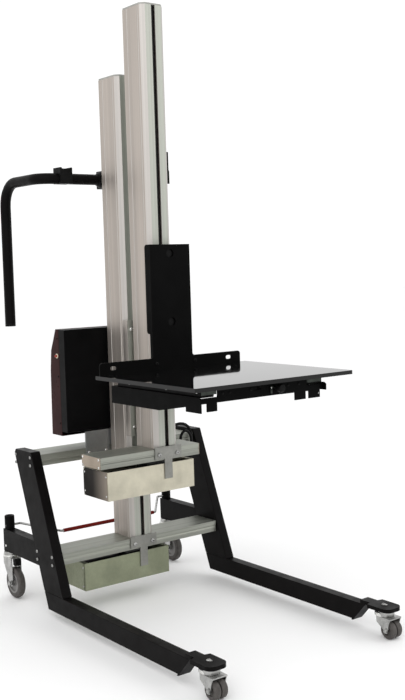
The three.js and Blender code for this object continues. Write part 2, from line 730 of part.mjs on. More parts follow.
// Sheet bracket: two wings on the upper beam's front face, joined by a plate behind the fixed mast.
function controlBracket() {
  const w = BRACKET_W / 2;
  const beamTop = UPPER_BEAM_Z + BEAM_H + GAP;
  const front = UPPER_BEAM_Y - GAP - 3;
  const wing = (x0, x1) => block(x0, x1, front, front + 3, UPPER_BEAM_Z + 5, BRACKET_TOP);
  return join(
    block(-w, w, front + 3.3, front + 6.3, beamTop, BRACKET_TOP),
    block(-w, -MAST_W / 2 - 1, front, front + 4, beamTop, BRACKET_TOP),
    block(MAST_W / 2 + 1, w, front, front + 4, beamTop, BRACKET_TOP),
    wing(-w, -MAST_W / 2 - 1),
    wing(MAST_W / 2 + 1, w),
  );
}

// Front half of the box: a shallow tray, open to the rear.
function controlHousing() {
  const w = BOX_W / 2;
  const outer = block(-w, w, BOX_FRONT_Y, BOX_SPLIT_Y, BOX_BOTTOM, BOX_TOP - 1);
  const inner = block(-w + SHEET, w - SHEET, BOX_FRONT_Y + SHEET, BOX_SPLIT_Y + 5,
    BOX_BOTTOM + SHEET, BOX_TOP - 1 - SHEET);
  return cut(outer, inner);
}

// Rear cover with a slanting top, open to the front.
function controlCover() {
  const w = BOX_W / 2;
  const y0 = BOX_SPLIT_Y + GAP;
  const side = (inset) => [
    [y0 - inset * 5, BOX_BOTTOM - 14 + inset], [BOX_REAR_Y - inset, BOX_BOTTOM - 14 + inset],
    [BOX_REAR_Y - 2 - inset, 640], [BOX_REAR_Y - 4 - inset, 733], [BOX_REAR_Y - 12 - inset, 798],
    [BOX_REAR_Y - 28 - inset, 831 - inset], [BOX_SPLIT_Y + 20 - inset, BOX_TOP - inset],
    [y0 - inset * 5, BOX_TOP - inset],
  ];
  const shell = cut(prism("X", side(0), -w, w), prism("X", side(SHEET), -w + SHEET, w - SHEET));
  return cut(shell, rod("X", BUTTON_R + RUN, -w - 5, -w + 5, BUTTON_Y, BUTTON_Z, 16));
}
function powerButton() {
  const x = -BOX_W / 2;
  return join(
    rod("X", BUTTON_R, x - 7, x + SHEET + 4, BUTTON_Y, BUTTON_Z, 16),
    rod("X", BUTTON_R + 5, x + SHEET + GAP, x + SHEET + 4, BUTTON_Y, BUTTON_Z, 16),
  );
}

add("control_bracket", controlBracket(), "galvanised");
add("control_housing", controlHousing(), "plastic");
add("control_cover", controlCover(), "maroon");
add("power_button", powerButton(), "red");

// ---- handle and hand control ------------------------------------------------------------------------

function handleBar() {
  const corners = [
    [HANDLE_RIGHT, HANDLE_Y, HANDLE_Z],
    [HANDLE_LEFT, HANDLE_Y, HANDLE_Z],
    [HANDLE_LEFT, GRIP_Y, HANDLE_Z],
    [HANDLE_LEFT, GRIP_Y, GRIP_END],
  ];
  return along(bent(corners, [HANDLE_BEND, GRIP_BEND]), HANDLE_R, 16, HANDLE_R - 3);
}

// Block that holds the bar against the fixed mast's back, with a flared collar on each side.
function handleClamp() {
  const y0 = FIXED_FRONT_Y + MAST_D + GAP;
  const half = 26;
  const flare = half + 16;
  const high = 28;
  const collars = turned("X", [[0, -flare], [HANDLE_R + 2, -flare], [high, -half], [high, half],
    [HANDLE_R + 2, flare], [0, flare]], [0, HANDLE_Y, HANDLE_Z], 28);
  const body = block(-half, half, y0, HANDLE_Y + high, HANDLE_Z - high, HANDLE_Z + high);
  const inMast = block(-flare - 5, flare + 5, y0 - high, y0, HANDLE_Z - high - 5, HANDLE_Z + high + 5);
  const bar = rod("X", HANDLE_R + GAP, -flare - 5, flare + 5, HANDLE_Y, HANDLE_Z, 16);
  return cut(join(body, collars), inMast, bar);
}

// Saddle on the bar, open below, with two small horns that the hand control can hang between.
function controlCradle() {
  const y0 = HANDLE_Y - HANDLE_R - 5;
  const y1 = HANDLE_Y + HANDLE_R + 5;
  const low = HANDLE_Z - HANDLE_R + 1;
  const recess = HANDLE_Z + 30;
  const horn = recess + 4;
  const section = [
    [CRADLE_LEFT, low], [CRADLE_RIGHT, low], [CRADLE_RIGHT, horn], [CRADLE_RIGHT - 5, horn],
    [CRADLE_RIGHT - 8, recess], [CRADLE_LEFT + 8, recess], [CRADLE_LEFT + 5, horn], [CRADLE_LEFT, horn],
  ];
  const bar = rod("X", HANDLE_R + GAP, CRADLE_LEFT - 5, CRADLE_RIGHT + 5, HANDLE_Y, HANDLE_Z, 16);
  return cut(prism("Y", section, y0, y1), bar);
}

const CONTROL_LOW = HANDLE_Z - 110;
const CONTROL_HIGH = HANDLE_Z + 99;
const CONTROL_BACK = HANDLE_Y + HANDLE_R + 28; // its operator side
const BUTTON_ROWS = [["up", HANDLE_Z + 55], ["down", HANDLE_Z + 15]];

// Hand control on the plain end of the bar: a body behind the bar and a holster that hangs over it.
function handControl() {
  const x0 = CONTROL_X - CONTROL_W / 2;
  const x1 = CONTROL_X + CONTROL_W / 2;
  const front = HANDLE_Y - HANDLE_R - 5;
  const y0 = CONTROL_BACK - 24;
  const body = prism("X", [
    [y0, CONTROL_LOW], [CONTROL_BACK - 3, CONTROL_LOW], [CONTROL_BACK, CONTROL_LOW + 8],
    [CONTROL_BACK, CONTROL_HIGH - 10], [CONTROL_BACK - 8, CONTROL_HIGH], [y0, CONTROL_HIGH],
  ], x0, x1);
  const step = HANDLE_Z + 36;
  const holster = block(x0 - 2.5, x1 + 2.5, front, y0 + 4, HANDLE_Z - 8, step);
  const upper = block(x0, x1, front, y0 + 4, step - 1, CONTROL_HIGH - 2);
  const bar = rod("X", HANDLE_R + GAP, x0 - 5, x1 + 5, HANDLE_Y, HANDLE_Z, 16);
  const wells = BUTTON_ROWS.map(([, z]) =>
    rod("Y", PLUG_R + RUN, CONTROL_BACK - 10, CONTROL_BACK + 5, CONTROL_X, z, 20));
  return cut(join(body, holster, upper), bar, ...wells);
}
add("handle_bar", handleBar(), "black");
add("handle_clamp", handleClamp(), "plastic");
add("control_cradle", controlCradle(), "plastic");
add("hand_control", handControl(), "plastic");
for (const [name, z] of BUTTON_ROWS) {
  const plug = rod("Y", PLUG_R, CONTROL_BACK - 6, CONTROL_BACK + 3, CONTROL_X, z, 20);
  add(name + "_button", plug, "hub");
}

// ---- central brake ----------------------------------------------------------------------------------

// Bent rod whose two ends turn in the stem tubes; its middle carries the foot bar.
function brakeRod() {
  const inner = AXIS_X - 13;
  const corners = [
    [-AXIS_X - 14, STEM_Y, BRAKE_Z],
    [-inner + 25, STEM_Y, BRAKE_Z],
    [-BAR_HALF - 8, BAR_Y, BAR_Z],
    [BAR_HALF + 8, BAR_Y, BAR_Z],
    [inner - 25, STEM_Y, BRAKE_Z],
    [AXIS_X + 14, STEM_Y, BRAKE_Z],
  ];
  return along(bent(corners, 12, 4), BRAKE_ROD_R, 10);
}

function footBar() {
  const tube = [[BRAKE_ROD_R + GAP, -BAR_HALF], [BAR_R, -BAR_HALF], [BAR_R, BAR_HALF], [BRAKE_ROD_R + GAP, BAR_HALF]];
  return turned("X", tube, [0, BAR_Y, BAR_Z], 16);
}
add("brake_rod", brakeRod(), "zinc");
add("brake_foot_bar", footBar(), "maroon");

// ---- casters ----------------------------------------------------------------------------------------

function rearFork(x) {
  const top = ARM_BOTTOM - RUN - 0.2;
  const wheelY = STEM_Y - REAR_TRAIL;
  const inside = REAR_W / 2 + 2;
  const outside = inside + 3;
  const hub = 11;
  const side = new THREE.Shape();
  side.moveTo(STEM_Y + 22, top - 16);
  side.lineTo(STEM_Y - 34, top - 16);
  side.lineTo(wheelY - hub, REAR_R + 24);
  side.lineTo(wheelY - hub, REAR_R);
  side.absarc(wheelY, REAR_R, hub, Math.PI, 2 * Math.PI, false);
  side.lineTo(STEM_Y + 20, top - 40);
  const cheek = (x0) => prism("X", side, x0, x0 + 3);
  return join(
    turned("Z", [[0, top - 17], [22, top - 17], [23, top - 14], [23, top - 3], [21, top], [0, top]],
      [x, STEM_Y, 0], 28),
    block(x - outside, x + outside, STEM_Y - 34, STEM_Y + 22, top - 19, top - 15.5),
    cheek(x - outside),
    cheek(x + inside),
    rod("X", AXLE_R, x - outside - 4, x + outside + 4, wheelY, REAR_R, 16),
    rod("Z", STEM_BORE - SHAFT_PLAY, top - 1, ARM_TOP + 3, x, STEM_Y, 24),
  );
}

// Tyre with rounded shoulders on a hub with recessed webs.
function rearTyre(x) {
  const w = REAR_W / 2;
  const r = REAR_R;
  const profile = [
    [REAR_HUB_R, -w + 1], [r - 9, -w], [r - 4, -w + 1.5], [r - 1, -w + 5], [r, 0],
    [r - 1, w - 5], [r - 4, w - 1.5], [r - 9, w], [REAR_HUB_R, w - 1],
  ];
  return turned("X", profile, [x, STEM_Y - REAR_TRAIL, REAR_R], 40);
}

function rearHub(x) {
  const w = REAR_W / 2 - 1;
  const bore = AXLE_R + SHAFT_PLAY;
  const rim = REAR_HUB_R - GAP;
  const profile = [
    [bore, -w], [10, -w], [11, -w + 5], [27, -w + 5], [28, -w], [rim, -w],
    [rim, w], [28, w], [27, w - 5], [11, w - 5], [10, w], [bore, w],
  ];
  return turned("X", profile, [x, STEM_Y - REAR_TRAIL, REAR_R], 32);
}

function frontFork(x) {
  const top = PAD_BOTTOM - RUN;
  const axleY = FRONT_CASTER_Y - FRONT_TRAIL;
  const inside = FRONT_W + 3.5;
  const outside = inside + 2.5;
  const low = top - 19;
  const side = new THREE.Shape();
  side.moveTo(FRONT_CASTER_Y + 16, low + 2);
  side.lineTo(FRONT_CASTER_Y - 36, low + 2);
  side.lineTo(axleY - 9, FRONT_R + 14);
  side.lineTo(axleY - 8, FRONT_R);
  side.absarc(axleY, FRONT_R, 8, Math.PI, 2 * Math.PI, false);
  side.lineTo(FRONT_CASTER_Y + 15, low - 14);
  return join(
    turned("Z", [[0, low], [21, low], [23, low + 3], [24, low + 8], [24, low + 13], [22, top], [0, top]],
      [x, FRONT_CASTER_Y, 0], 28),
    block(x - outside, x + outside, FRONT_CASTER_Y - 36, FRONT_CASTER_Y + 16, low - 1.5, low + 2),
    prism("X", side, x - outside, x - inside),
    prism("X", side, x + inside, x + outside),
    rod("X", FRONT_AXLE_R, x - outside - 2, x + outside + 2, axleY, FRONT_R, 12),
    rod("Z", FRONT_STEM_R, top - 1, PAD_TOP + 2, x, FRONT_CASTER_Y, 12),
  );
}

// Two wheels on one hub tube.
function frontWheels(x) {
  const bore = FRONT_AXLE_R + SHAFT_PLAY;
  const r = FRONT_R;
  const half = (s) => [
    [9, s * 2], [r - 2.5, s * 2], [r - 0.6, s * 4.5], [r, s * (2 + FRONT_W / 2)], [r - 0.6, s * (FRONT_W - 0.5)],
    [r - 2.5, s * (FRONT_W + 2)], [14, s * (FRONT_W + 2)], [13, s * (FRONT_W - 1)], [bore, s * (FRONT_W - 1)],
  ];
  return turned("X", [...half(1), ...half(-1).reverse()], [x, FRONT_CASTER_Y - FRONT_TRAIL, FRONT_R], 32);
}

for (const [side, sign] of SIDES) {
  const x = sign * AXIS_X;
  add("rear_" + side + "_fork", rearFork(x), "zinc");
  add("rear_" + side + "_tyre", rearTyre(x), "tyre");
  add("rear_" + side + "_hub", rearHub(x), "hub");
  add("front_" + side + "_fork", frontFork(x), "zinc");
  add("front_" + side + "_wheels", frontWheels(x), "tyre");
}

// ---- motor cable ------------------------------------------------------------------------------------

// Lead of the lower drive: out of the control box, looped in front of the upper beam's end, into the mast.
const CABLE_R = 5;
const CABLE_POINTS = [
  [120, 420, 525], [120, 419, 515], [125, 406, 505], [138, 385, 501], [165, 358, 505], [200, 347, 517], [236, 345, 522],
  [262, 345, 512], [276, 345, 490], [279, 344, 462], [270, 342, 437], [250, 339, 430], [232, 337, 444],
  [226, 335, 468], [232, 334, 490], [249, 333, 498], [263, 332, 486], [268, 330, 462], [262, 328, 434],
  [244, 325, 412], [214, 320, 398], [170, 313, 391], [120, 306, 389], [75, 302, 390], [42.5, 301, 390],
];

function motorCable() {
  const curve = new THREE.CatmullRomCurve3(CABLE_POINTS.map((p) => new THREE.Vector3(...p)), false, "centripetal");
  return along(curve.getSpacedPoints(56), CABLE_R, 8);
}
add("motor_cable", motorCable(), "plastic");

// ---- origin at the middle of the footprint, on the floor --------------------------------------------

const box = new THREE.Box3().setFromObject(model);
model.position.set(-(box.min.x + box.max.x) / 2, -(box.min.y + box.max.y) / 2, -box.min.z);

export default model;
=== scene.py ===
"""Looks for the two-stage mast lift trolley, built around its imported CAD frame.

Metres, +Z up, -Y towards the load. Sizes of details are in mm and scaled by MM.
"""
import json
import math

import bmesh
import bpy
from mathutils import Matrix, Vector


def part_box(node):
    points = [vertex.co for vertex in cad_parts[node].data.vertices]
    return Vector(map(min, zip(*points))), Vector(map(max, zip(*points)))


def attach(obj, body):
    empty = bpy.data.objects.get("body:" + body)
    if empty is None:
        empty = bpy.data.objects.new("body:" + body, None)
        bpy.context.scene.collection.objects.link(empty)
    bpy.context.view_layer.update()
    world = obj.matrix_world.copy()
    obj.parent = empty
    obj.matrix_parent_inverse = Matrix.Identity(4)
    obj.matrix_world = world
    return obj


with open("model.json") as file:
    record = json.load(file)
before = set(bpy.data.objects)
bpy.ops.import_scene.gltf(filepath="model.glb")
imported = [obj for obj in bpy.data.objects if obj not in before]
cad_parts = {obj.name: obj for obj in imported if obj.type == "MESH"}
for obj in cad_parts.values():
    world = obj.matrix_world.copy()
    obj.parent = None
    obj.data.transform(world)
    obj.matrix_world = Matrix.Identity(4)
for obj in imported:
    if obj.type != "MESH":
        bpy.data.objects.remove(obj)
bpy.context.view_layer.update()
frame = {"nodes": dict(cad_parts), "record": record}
NODES = frame["nodes"]

MM = 0.001

# ---- camera -----------------------------------------------------------------------------------------
CAMERA_AT = (-1.8042, -2.5406, 1.055)
CAMERA_ANGLES = (86.3036, 1.7353, -37.2765)  # degrees
FOCAL_LENGTH = 53.57
SENSOR_WIDTH = 36
FRAME_SHIFT = (-0.0043, -0.0254)


def make_camera():
    data = bpy.data.cameras.new("camera")
    data.sensor_width = SENSOR_WIDTH
    data.lens = FOCAL_LENGTH
    data.shift_x, data.shift_y = FRAME_SHIFT
    camera = bpy.data.objects.new("camera", data)
    camera.location = CAMERA_AT
    camera.rotation_euler = [math.radians(a) for a in CAMERA_ANGLES]
    bpy.context.scene.collection.objects.link(camera)
    bpy.context.scene.camera = camera


make_camera()


# ---- node-based materials ---------------------------------------------------------------------------
# most of a noise pattern lies between these two values
NOISE_LOW, NOISE_HIGH = 0.3, 0.7


class Surface:
    """A principled material whose colour, roughness and bump come from procedural patterns."""

    def __init__(self, name, color, metallic, roughness, **sockets):
        self.material = bpy.data.materials.new(name)
        self.material.use_nodes = True
        self.tree = self.material.node_tree
        self.shader = self.tree.nodes["Principled BSDF"]
        self.shader.inputs["Base Color"].default_value = (*color, 1)
        self.shader.inputs["Metallic"].default_value = metallic
        self.shader.inputs["Roughness"].default_value = roughness
        for key, value in sockets.items():
            self.shader.inputs[key.replace("_", " ")].default_value = value
        self.normal = None

    def node(self, kind, **inputs):
        made = self.tree.nodes.new(kind)
        for key, value in inputs.items():
            made.inputs[key.replace("_", " ")].default_value = value
        return made

    def link(self, a, b):
        self.tree.links.new(a, b)

    def noise(self, scale, detail=3.0, stretch=(1, 1, 1)):
        """Noise in the object's own metres; stretch draws it out along an axis."""
        place = self.node("ShaderNodeTexCoord")
        mapping = self.node("ShaderNodeMapping", Scale=stretch)
        made = self.node("ShaderNodeTexNoise", Scale=scale, Detail=detail)
        self.link(place.outputs["Object"], mapping.inputs["Vector"])
        self.link(mapping.outputs["Vector"], made.inputs["Vector"])
        return made.outputs["Fac"]

    def tint(self, source, low, high, start=NOISE_LOW, end=NOISE_HIGH):
        """Colour between two, following a pattern from its value start to its value end."""
        ramp = self.node("ShaderNodeValToRGB")
        for element, position, color in zip(ramp.color_ramp.elements, (start, end), (low, high)):
            element.position = position
            element.color = (*color, 1)
        self.link(source, ramp.inputs["Fac"])
        self.link(ramp.outputs["Color"], self.shader.inputs["Base Color"])
        return self

    def paint_reflection_by_side(self, *stops):
        """Painted reflection tint: multiplies the colour by one that follows how far a face looks
        along X.

        Each stop is (share of X, colour).
        """
        looks = self.node("ShaderNodeNewGeometry")
        split = self.node("ShaderNodeSeparateXYZ")
        size = self.node("ShaderNodeMath")
        size.operation = "ABSOLUTE"
        ramp = self.node("ShaderNodeValToRGB")
        while len(ramp.color_ramp.elements) < len(stops):
            ramp.color_ramp.elements.new(0.5)  # placed by its stop below
        for element, (share, color) in zip(ramp.color_ramp.elements, stops):
            element.position = share
            element.color = (*color, 1)
        mix = self.node("ShaderNodeVectorMath")
        mix.operation = "MULTIPLY"
        base = self.shader.inputs["Base Color"]
        self.link(looks.outputs["True Normal"], split.inputs["Vector"])
        self.link(split.outputs["X"], size.inputs[0])
        self.link(size.outputs[0], ramp.inputs["Fac"])
        self.link(base.links[0].from_socket, mix.inputs[0])
        self.link(ramp.outputs["Color"], mix.inputs[1])
        self.link(mix.outputs["Vector"], base)
        return self

    def gloss(self, source, low, high):
        """Roughness between two values, following a pattern."""
        scale = self.node(
            "ShaderNodeMapRange", From_Min=NOISE_LOW, From_Max=NOISE_HIGH, To_Min=low, To_Max=high,
        )
        self.link(source, scale.inputs["Value"])
        self.link(scale.outputs["Result"], self.shader.inputs["Roughness"])
        return self

    def bump(self, source, depth, strength):
        """Relief of a depth in metres, following a pattern and added to any relief before it."""
        made = self.node("ShaderNodeBump", Strength=strength, Distance=depth)
        self.link(source, made.inputs["Height"])
        if self.normal:
            self.link(self.normal, made.inputs["Normal"])
        self.normal = made.outputs["Normal"]
        self.link(self.normal, self.shader.inputs["Normal"])
        return self


def scaled(color, share, lift=0.0):
    """A darker or lighter colour, held at white."""
    return [min(c * share + lift, 1) for c in color]


def drawn_out(axis, across, along):
    """Noise scales along X, Y and Z for a pattern of lines that follow one axis."""
    return [along if k == axis else across for k in range(3)]


def powder_coat(name, color, roughness, shine=0.05):
    s = Surface(name, color, metallic=0.0, roughness=roughness, Specular_IOR_Level=shine)
    s.tint(s.noise(scale=14), color, scaled(color, 1.4, lift=0.0006), start=0.35, end=0.8)
    s.gloss(s.noise(scale=30), roughness - 0.07, roughness + 0.08)
    return s.bump(s.noise(scale=900, detail=2), depth=0.00012, strength=0.55).material


ALONG_X, ALONG_Z = 0, 2
# painted reflection on a standing extrusion: darker and greener where a face looks along Y, warmer
# where it looks along X
STANDING_REFLECTION_TINTS = (0, (0.84, 0.91, 0.86)), (0.7, (1, 1, 1)), (1, (0.95, 0.9, 0.86))


def extrusion(name, color, axis, roughness=0.5, streak=0.16):
    """Anodised aluminium with bands and fine die lines along the extrusion."""
    s = Surface(name, color, metallic=0.85, roughness=roughness)
    bands = drawn_out(axis, across=75, along=0.3)
    die_lines = drawn_out(axis, across=1500, along=0.6)
    low, high = scaled(color, 1 - streak), scaled(color, 1 + streak / 2)
    s.tint(s.noise(scale=1, stretch=bands), low, high, start=0.35, end=0.65)
    s.gloss(s.noise(scale=1, detail=2, stretch=bands), roughness - 0.06, roughness + 0.06)
    # standing extrusions also get a painted reflection tint that depends on which way each face looks
    if axis == ALONG_Z:
        s.paint_reflection_by_side(*STANDING_REFLECTION_TINTS)
    relief = s.noise(scale=1, detail=1, stretch=die_lines)
    return s.bump(relief, depth=0.00002, strength=0.2).material


def galvanised(name, color, roughness=0.34):
    """Sheet with a faint spangle and cloudy patches."""
    s = Surface(name, color, metallic=0.85, roughness=roughness)
    place = s.node("ShaderNodeTexCoord")
    cells = s.node("ShaderNodeTexVoronoi", Scale=130.0)
    s.link(place.outputs["Object"], cells.inputs["Vector"])
    s.tint(s.noise(scale=16, detail=4), scaled(color, 0.84), scaled(color, 1.12), end=0.72)
    s.gloss(cells.outputs["Distance"], roughness - 0.05, roughness + 0.1)
    s.bump(s.noise(scale=9, detail=2), depth=0.0012, strength=0.25)
    return s.bump(s.noise(scale=420, detail=2), depth=0.00005, strength=0.5).material


def plated(name, color, roughness=0.25):
    s = Surface(name, color, metallic=1.0, roughness=roughness)
    s.tint(s.noise(scale=40, detail=4), scaled(color, 0.7), scaled(color, 1.15))
    s.gloss(s.noise(scale=70), roughness - 0.06, roughness + 0.14)
    return s.bump(s.noise(scale=260), depth=0.00008, strength=0.4).material


def plastic(name, color, roughness=0.5, shine=0.3):
    s = Surface(name, color, metallic=0.0, roughness=roughness, Specular_IOR_Level=shine)
    s.tint(s.noise(scale=25), color, scaled(color, 1.35, lift=0.003), start=0.4, end=0.8)
    s.gloss(s.noise(scale=60), roughness - 0.06, roughness + 0.06)
    return s.bump(s.noise(scale=1400, detail=2), depth=0.00008, strength=0.5).material


def rubber(name, color, roughness, shine=0.25):
    s = Surface(name, color, metallic=0.0, roughness=roughness, Specular_IOR_Level=shine)
    s.tint(s.noise(scale=90, detail=5), scaled(color, 0.75), scaled(color, 1.25), end=0.75)
    s.gloss(s.noise(scale=150), roughness - 0.1, roughness + 0.12)
    return s.bump(s.noise(scale=700), depth=0.0001, strength=0.6).material


def gloss_sheet(name):
    """Deep black enamel with slow orange peel and faint dust."""
    black, dusty = [0.003] * 3, [0.006] * 3
    s = Surface(name, [0.004] * 3, metallic=0.0, roughness=0.04, Specular_IOR_Level=0.3)
    s.tint(s.noise(scale=300, detail=4), black, dusty, start=0.45, end=0.8)
    s.gloss(s.noise(scale=6), 0.03, 0.06)
    return s.bump(s.noise(scale=70, detail=2), depth=0.00002, strength=0.15).material


def painted_shade_sheet(name, dark, light, roughness=0.35):
    """Folded sheet with painted light and shade: light at the front, running to dark behind, along the
    object's own Y.
    """
    s = Surface(name, dark, metallic=0.6, roughness=roughness)
    place = s.node("ShaderNodeTexCoord")
    split = s.node("ShaderNodeSeparateXYZ")
    s.link(place.outputs["Generated"], split.inputs["Vector"])
    # painted shade: the colour runs from the lit front to the shaded rear
    s.tint(split.outputs["Y"], light, dark, start=0.0, end=0.6)
    s.gloss(s.noise(scale=30), roughness - 0.05, roughness + 0.08)
    return s.bump(s.noise(scale=420, detail=2), depth=0.00005, strength=0.4).material


# each finish takes its name, its colour and, where it isn't the finish's own, its roughness
MATERIALS = {
    "frame_paint": powder_coat("frame_paint", (0.0032, 0.0028, 0.0028), 0.4),
    "carriage_paint": powder_coat("carriage_paint", (0.0022, 0.0022, 0.0022), 0.45, shine=0.03),
    "shelf_paint": gloss_sheet("shelf_paint"),
    "mast": extrusion("mast", (0.5, 0.475, 0.45), ALONG_Z),
    "beam": extrusion("beam", (0.33, 0.34, 0.3), ALONG_X, streak=0.22),
    "slider_aluminium": extrusion("slider_aluminium", (0.5, 0.48, 0.46), ALONG_Z, 0.35),
    "galvanised_sheet": galvanised("galvanised_sheet", (0.53, 0.5, 0.4)),
    "galvanised_dark": galvanised("galvanised_dark", (0.27, 0.29, 0.2), 0.38),
    "tee_plate": galvanised("tee_plate", (0.26, 0.26, 0.24), 0.42),
    "bracket_sheet": galvanised("bracket_sheet", (0.32, 0.33, 0.33), 0.4),
    # painted shade on the stage cover's end sheets: light at the front, dark behind
    "cover_end": painted_shade_sheet("cover_end", (0.02, 0.016, 0.014), (0.26, 0.22, 0.18)),
    "mast_cap": plastic("mast_cap", (0.3, 0.3, 0.28), 0.5),
    "end_plate": powder_coat("end_plate", (0.28, 0.235, 0.19), 0.45),
    "zinc_plate": plated("zinc_plate", (0.42, 0.42, 0.41)),
    "slide_zinc": plated("slide_zinc", (0.05, 0.056, 0.05), 0.35),
    "bolt_grey": plated("bolt_grey", (0.4, 0.4, 0.39), 0.3),
    "bright_steel": plated("bright_steel", (0.72, 0.72, 0.7), 0.18),
    "drive_steel": powder_coat("drive_steel", (0.02, 0.02, 0.02), 0.45),
    "black_plastic": plastic("black_plastic", (0.004, 0.004, 0.004), 0.45, shine=0.08),
    "box_front": powder_coat("box_front", (0.0024, 0.0024, 0.0026), 0.38),
    "box_cover": powder_coat("box_cover", (0.022, 0.006, 0.006), 0.33),
    "belt_rubber": rubber("belt_rubber", (0.006, 0.006, 0.006), 0.6),
    "foot_bar_paint": powder_coat("foot_bar_paint", (0.16, 0.012, 0.009), 0.3),
    "tyre_rubber": rubber("tyre_rubber", (0.068, 0.062, 0.058), 0.55),
    "hub_grey": plastic("hub_grey", (0.16, 0.155, 0.15), 0.4),
    "button_red": plastic("button_red", (0.32, 0.035, 0.025), 0.35, shine=0.2),
    "button_cream": plastic("button_cream", (0.6, 0.52, 0.4), 0.35),
    "button_grey": plastic("button_grey", (0.3, 0.3, 0.29), 0.35),
    "cable_jacket": rubber("cable_jacket", (0.004, 0.004, 0.004), 0.42, shine=0.1),
    "shadow": plastic("shadow", (0.003, 0.003, 0.003), 0.7),
}

# CAD nodes that wear another look than their record slot's
NODE_LOOKS = {
    "mast": ["fixed_mast", "moving_mast"],
    "beam": ["upper_beam", "lower_beam", "stage_beam"],
    "slide_zinc": ["slide_inner_left", "slide_inner_right"],
    "galvanised_sheet": ["stage_drive_cover"],
    "galvanised_dark": ["lower_drive_cover"],
    "tee_plate": ["stage_tee_bracket", "lower_tee_bracket"],
    "mast_cap": ["fixed_mast_cap", "moving_mast_cap"],
    "bracket_sheet": ["control_bracket"],
    "carriage_paint": [
        "carriage_back_plate", "carriage_arm_left", "carriage_arm_right", "carriage_front_rail",
    ],
}


# ---- CAD nodes: materials, softened edges and shading -----------------------------------------------
# bevel width of each look, in mm
EDGE_WIDTH = {
    "frame_paint": 1.6, "mast": 0.5, "beam": 0.7, "slider_aluminium": 0.6, "galvanised_sheet": 0.5,
    "galvanised_dark": 0.5, "bracket_sheet": 0.5, "carriage_paint": 0.8, "shelf_paint": 0.9,
    "zinc_plate": 0.5, "black_plastic": 1.0, "box_front": 1.2, "box_cover": 1.5,
}
SHARP = math.radians(32)  # edges that turn more than this are real corners
WELD_DISTANCE = 1e-6
BEVEL_STEPS = 2


def shade(o):
    """Smooth shading that breaks at real corners and keeps flat faces flat."""
    o.data.polygons.foreach_set("use_smooth", [True] * len(o.data.polygons))
    split = o.modifiers.new("corners", "EDGE_SPLIT")
    split.split_angle = SHARP
    level = o.modifiers.new("flat faces", "WEIGHTED_NORMAL")
    level.keep_sharp = True


def bevel(o, width):
    """Rounds an object's real corners off over a width in mm."""
    edge = o.modifiers.new("edge", "BEVEL")
    edge.width = width * MM
    edge.segments = BEVEL_STEPS
    edge.limit_method = "ANGLE"
    edge.angle_limit = SHARP


def dress_cad_nodes():
    look_of = {name: look for look, names in NODE_LOOKS.items() for name in names}
    for part in frame["record"]["subparts"]:
        look = look_of.get(part["node"], part["material_slot"])
        o = NODES[part["node"]]
        o.data.materials.clear()
        o.data.materials.append(MATERIALS[look])
        weld = o.modifiers.new("weld", "WELD")
        weld.merge_threshold = WELD_DISTANCE
        if look in EDGE_WIDTH:
            bevel(o, EDGE_WIDTH[look])
        shade(o)


# ---- building pieces --------------------------------------------------------------------------------
AXES = {
    "+X": Matrix(((0, 0, 1), (1, 0, 0), (0, 1, 0))),
    "-X": Matrix(((0, 0, -1), (-1, 0, 0), (0, 1, 0))),
    "+Y": Matrix(((1, 0, 0), (0, 0, 1), (0, -1, 0))),
    "-Y": Matrix(((1, 0, 0), (0, 0, -1), (0, 1, 0))),
    "+Z": Matrix.Identity(3),
    "-Z": Matrix(((1, 0, 0), (0, -1, 0), (0, 0, -1))),
}


def facing(at, axis):
    """A place whose own +Z looks along the named axis."""
    return Matrix.Translation(Vector(at)) @ AXES[axis].to_4x4()


CROSS_ARM = 0.45  # half width of a cross slot's arm, as the sine of twice its angle
CROSS_WAIST = 0.36  # how far the slot reaches between its arms


def reach(kind, angle):
    """How far a ring of this kind goes out at an angle, as a share of its radius."""
    if kind == "hex":
        turn = (angle % (math.pi / 3)) - math.pi / 6
        return math.cos(math.pi / 6) / math.cos(turn)
    if kind == "cross":
        return 1.0 if abs(math.sin(2 * angle)) < CROSS_ARM else CROSS_WAIST
    return 1.0


